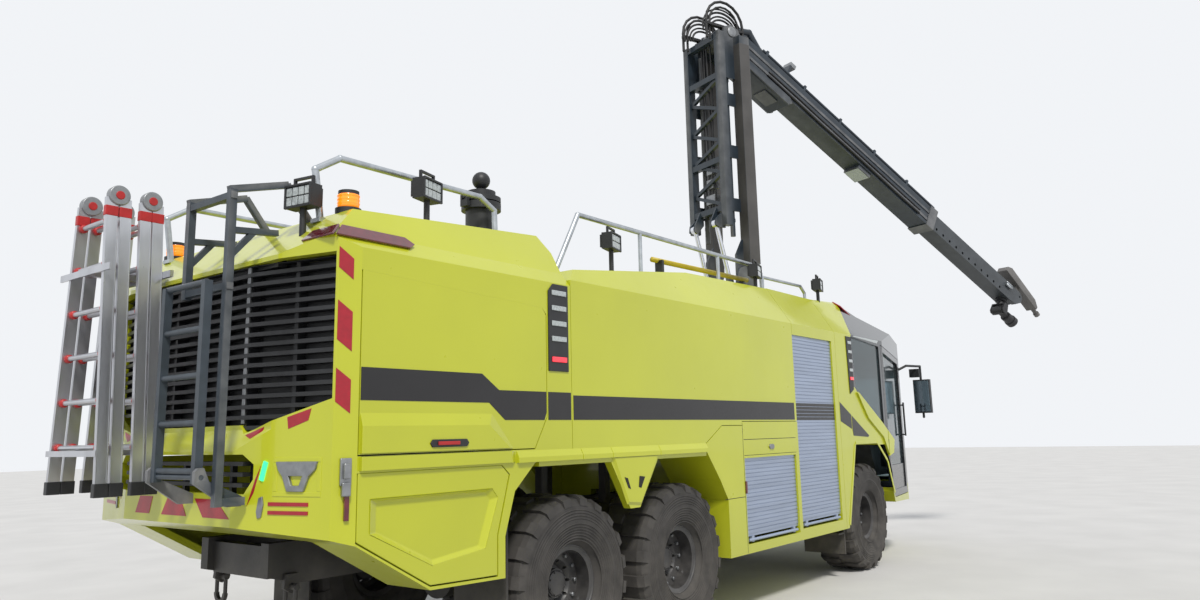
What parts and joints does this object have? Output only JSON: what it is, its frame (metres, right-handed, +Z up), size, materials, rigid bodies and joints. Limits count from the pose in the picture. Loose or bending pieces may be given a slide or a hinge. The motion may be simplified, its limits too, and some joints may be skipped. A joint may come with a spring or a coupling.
{
  "type": "six-wheel airport fire truck with a jointed high-reach boom",
  "caption": "Airport fire truck, six driven wheels, faceted body, rear grille and ladders, lockers, glazed cab and a raised jointed boom with nozzle and piercing tool.",
  "frame": {"origin": "on the ground, under the middle of the whole model's bounding box", "axes": "+X forwards along the truck, +Y to its left, +Z up"},
  "size_m": [14.7756, 4.3038, 7.8231],
  "materials": {
    "lime_paint": "gloss",
    "chassis_black": "satin",
    "rim_black": "satin",
    "tyre_rubber": "matte",
    "black_plastic": "matte",
    "door_black": "gloss",
    "cab_trim": "matte",
    "dark_glass": "clear, tinted",
    "shutter_aluminium": "satin",
    "rail_steel": "satin",
    "ladder_aluminium": "satin",
    "ladder_grey": "satin",
    "flap_rubber": "matte",
    "boom_slate": "satin",
    "hose_rubber": "matte",
    "extension_grey": "satin",
    "rod_chrome": "polished",
    "tool_grey": "satin"
  },
  "bodies": {
    "truck": {"chassis": "chassis_black", "engine": "chassis_black", "front_axle": "chassis_black", "rear_axles": "chassis_black", "engine_body": "lime_paint", "grilles": "black_plastic", "tank_body": "lime_paint", "locker_body": "lime_paint", "shutters": "shutter_aluminium", "cab": "lime_paint", "cab_glass": "dark_glass", "cab_interior": "cab_trim", "mirrors": "black_plastic", "roof_rails": "rail_steel", "lamps": "black_plastic", "filler": "black_plastic", "ladders": "ladder_aluminium", "ladder_frame": "ladder_grey", "mud_flaps": "flap_rubber"},
    "hub_right": {"knuckle_right": "chassis_black"},
    "hub_left": {"knuckle_left": "chassis_black"},
    "cab_door_right": {"cab_door_right": "door_black"},
    "cab_door_left": {"cab_door_left": "door_black"},
    "upper_door_right": {"upper_door_right": "lime_paint"},
    "upper_door_left": {"upper_door_left": "lime_paint"},
    "lower_door_right": {"lower_door_right": "lime_paint"},
    "lower_door_left": {"lower_door_left": "lime_paint"},
    "filler_lid": {"filler_lid": "black_plastic"},
    "boarding_ladder": {"boarding_ladder": "ladder_grey"},
    "turntable": {"turntable": "boom_slate"},
    "lower_boom": {"lower_boom": "boom_slate"},
    "elbow_link": {"elbow_link": "boom_slate", "elbow_hoses": "hose_rubber"},
    "upper_boom": {"upper_boom": "boom_slate"},
    "extension": {"extension": "extension_grey"},
    "monitor_base": {"monitor_base": "chassis_black"},
    "monitor_nozzle": {"monitor_nozzle": "chassis_black"},
    "piercing_tool": {"piercing_tool": "tool_grey"},
    "lift_barrels": {"lift_barrels": "boom_slate"},
    "lift_rods": {"lift_rods": "rod_chrome"},
    "wheel_front_right": {"tyre_front_right": "tyre_rubber", "rim_front_right": "rim_black"},
    "wheel_front_left": {"tyre_front_left": "tyre_rubber", "rim_front_left": "rim_black"},
    "wheel_mid_right": {"tyre_mid_right": "tyre_rubber", "rim_mid_right": "rim_black"},
    "wheel_mid_left": {"tyre_mid_left": "tyre_rubber", "rim_mid_left": "rim_black"},
    "wheel_rear_right": {"tyre_rear_right": "tyre_rubber", "rim_rear_right": "rim_black"},
    "wheel_rear_left": {"tyre_rear_left": "tyre_rubber", "rim_rear_left": "rim_black"}
  },
  "joints": [
    {"name": "steering_right", "type": "hinge", "parent": "truck", "child": "hub_right", "pos_m": [1.68, -0.26, 0.682], "axis": [0, 0, 1], "range_deg": [-28, 28]},
    {"name": "steering_left", "type": "hinge", "parent": "truck", "child": "hub_left", "pos_m": [1.68, 1.4, 0.682], "axis": [0, 0, 1], "range_deg": [-28, 28]},
    {"name": "wheel_front_right_roll", "type": "hinge", "parent": "hub_right", "child": "wheel_front_right", "pos_m": [1.68, -0.59, 0.682], "axis": [0, 1, 0], "continuous": true},
    {"name": "wheel_front_left_roll", "type": "hinge", "parent": "hub_left", "child": "wheel_front_left", "pos_m": [1.68, 1.73, 0.682], "axis": [0, 1, 0], "continuous": true},
    {"name": "wheel_mid_right_roll", "type": "hinge", "parent": "truck", "child": "wheel_mid_right", "pos_m": [-2.905, -0.59, 0.682], "axis": [0, 1, 0], "continuous": true},
    {"name": "wheel_mid_left_roll", "type": "hinge", "parent": "truck", "child": "wheel_mid_left", "pos_m": [-2.905, 1.73, 0.682], "axis": [0, 1, 0], "continuous": true},
    {"name": "wheel_rear_right_roll", "type": "hinge", "parent": "truck", "child": "wheel_rear_right", "pos_m": [-4.46, -0.59, 0.682], "axis": [0, 1, 0], "continuous": true},
    {"name": "wheel_rear_left_roll", "type": "hinge", "parent": "truck", "child": "wheel_rear_left", "pos_m": [-4.46, 1.73, 0.682], "axis": [0, 1, 0], "continuous": true},
    {"name": "cab_door_right_hinge", "type": "hinge", "parent": "truck", "child": "cab_door_right", "pos_m": [3.59, -0.7485, 1.9], "axis": [0, 0, 1], "range_deg": [0, 75]},
    {"name": "cab_door_left_hinge", "type": "hinge", "parent": "truck", "child": "cab_door_left", "pos_m": [3.59, 1.8885, 1.9], "axis": [0, 0, -1], "range_deg": [0, 75]},
    {"name": "upper_door_right_hinge", "type": "hinge", "parent": "truck", "child": "upper_door_right", "pos_m": [-5.72, -0.932, 2.856], "axis": [-1, 0, 0], "range_deg": [0, 85]},
    {"name": "upper_door_left_hinge", "type": "hinge", "parent": "truck", "child": "upper_door_left", "pos_m": [-5.72, 2.072, 2.856], "axis": [1, 0, 0], "range_deg": [0, 85]},
    {"name": "lower_door_right_hinge", "type": "hinge", "parent": "truck", "child": "lower_door_right", "pos_m": [-5.92, -0.932, 1.623], "axis": [-1, 0, 0], "range_deg": [0, 85]},
    {"name": "lower_door_left_hinge", "type": "hinge", "parent": "truck", "child": "lower_door_left", "pos_m": [-5.92, 2.072, 1.623], "axis": [1, 0, 0], "range_deg": [0, 85]},
    {"name": "filler_lid_hinge", "type": "hinge", "parent": "truck", "child": "filler_lid", "pos_m": [-5.054, -0.23, 3.772], "axis": [0, -1, 0], "range_deg": [0, 110]},
    {"name": "boarding_ladder_fold", "type": "hinge", "parent": "truck", "child": "boarding_ladder", "pos_m": [-7.17, 0.05, 1.625], "axis": [0, -1, 0], "range_deg": [0, 170]},
    {"name": "boom_slew", "type": "hinge", "parent": "truck", "child": "turntable", "pos_m": [0.1, 0.57, 2.9], "axis": [0, 0, 1], "range_deg": [-10, 50]},
    {"name": "boom_luff", "type": "hinge", "parent": "turntable", "child": "lower_boom", "pos_m": [0.47588, 0.43319, 3.85], "axis": [0.342, 0.9397, 0], "range_deg": [-90, 0]},
    {"name": "elbow_link_fold", "type": "hinge", "parent": "lower_boom", "child": "elbow_link", "pos_m": [0.47588, 0.43319, 7.35], "axis": [0.342, 0.9397, 0], "range_deg": [0, 62]},
    {"name": "elbow_raise", "type": "hinge", "parent": "elbow_link", "child": "upper_boom", "pos_m": [0.47588, 0.43319, 7.35], "axis": [-0.342, -0.9397, 0], "range_deg": [0, 112]},
    {"name": "boom_extend", "type": "slide", "parent": "upper_boom", "child": "extension", "axis": [0.8297, -0.302, -0.4695], "range_m": [-2, 1.6]},
    {"name": "monitor_pan", "type": "hinge", "parent": "extension", "child": "monitor_base", "pos_m": [6.36622, -1.71072, 3.9944], "axis": [0.4412, -0.1606, 0.8829], "range_deg": [-90, 90]},
    {"name": "monitor_tilt", "type": "hinge", "parent": "monitor_base", "child": "monitor_nozzle", "pos_m": [6.26916, -1.67539, 3.80015], "axis": [0.342, 0.9397, 0], "range_deg": [-10, 80]},
    {"name": "piercing_tool_tilt", "type": "hinge", "parent": "extension", "child": "piercing_tool", "pos_m": [6.68262, -1.82588, 4.04188], "axis": [0.342, 0.9397, 0], "range_deg": [-12, 78]},
    {"name": "lift_barrel_pivot", "type": "hinge", "parent": "turntable", "child": "lift_barrels", "pos_m": [0.50407, 0.42293, 3.08], "axis": [0.342, 0.9397, 0], "range_deg": [-46.49, 0]},
    {"name": "lift_rod_slide", "type": "slide", "parent": "lift_barrels", "child": "lift_rods", "axis": [-0.2322, 0.0845, 0.969], "range_m": [-0.6786, 0]}
  ],
  "couplings": [
    {"joint": "steering_left", "follows": "steering_right", "ratio": 1},
    {"joint": "elbow_link_fold", "follows": "boom_luff", "ratio": -0.68888},
    {"joint": "lift_barrel_pivot", "follows": "boom_luff", "ratio": 0.51604},
    {"joint": "lift_rod_slide", "follows": "boom_luff", "m_per_rad": 0.43169}
  ]
}
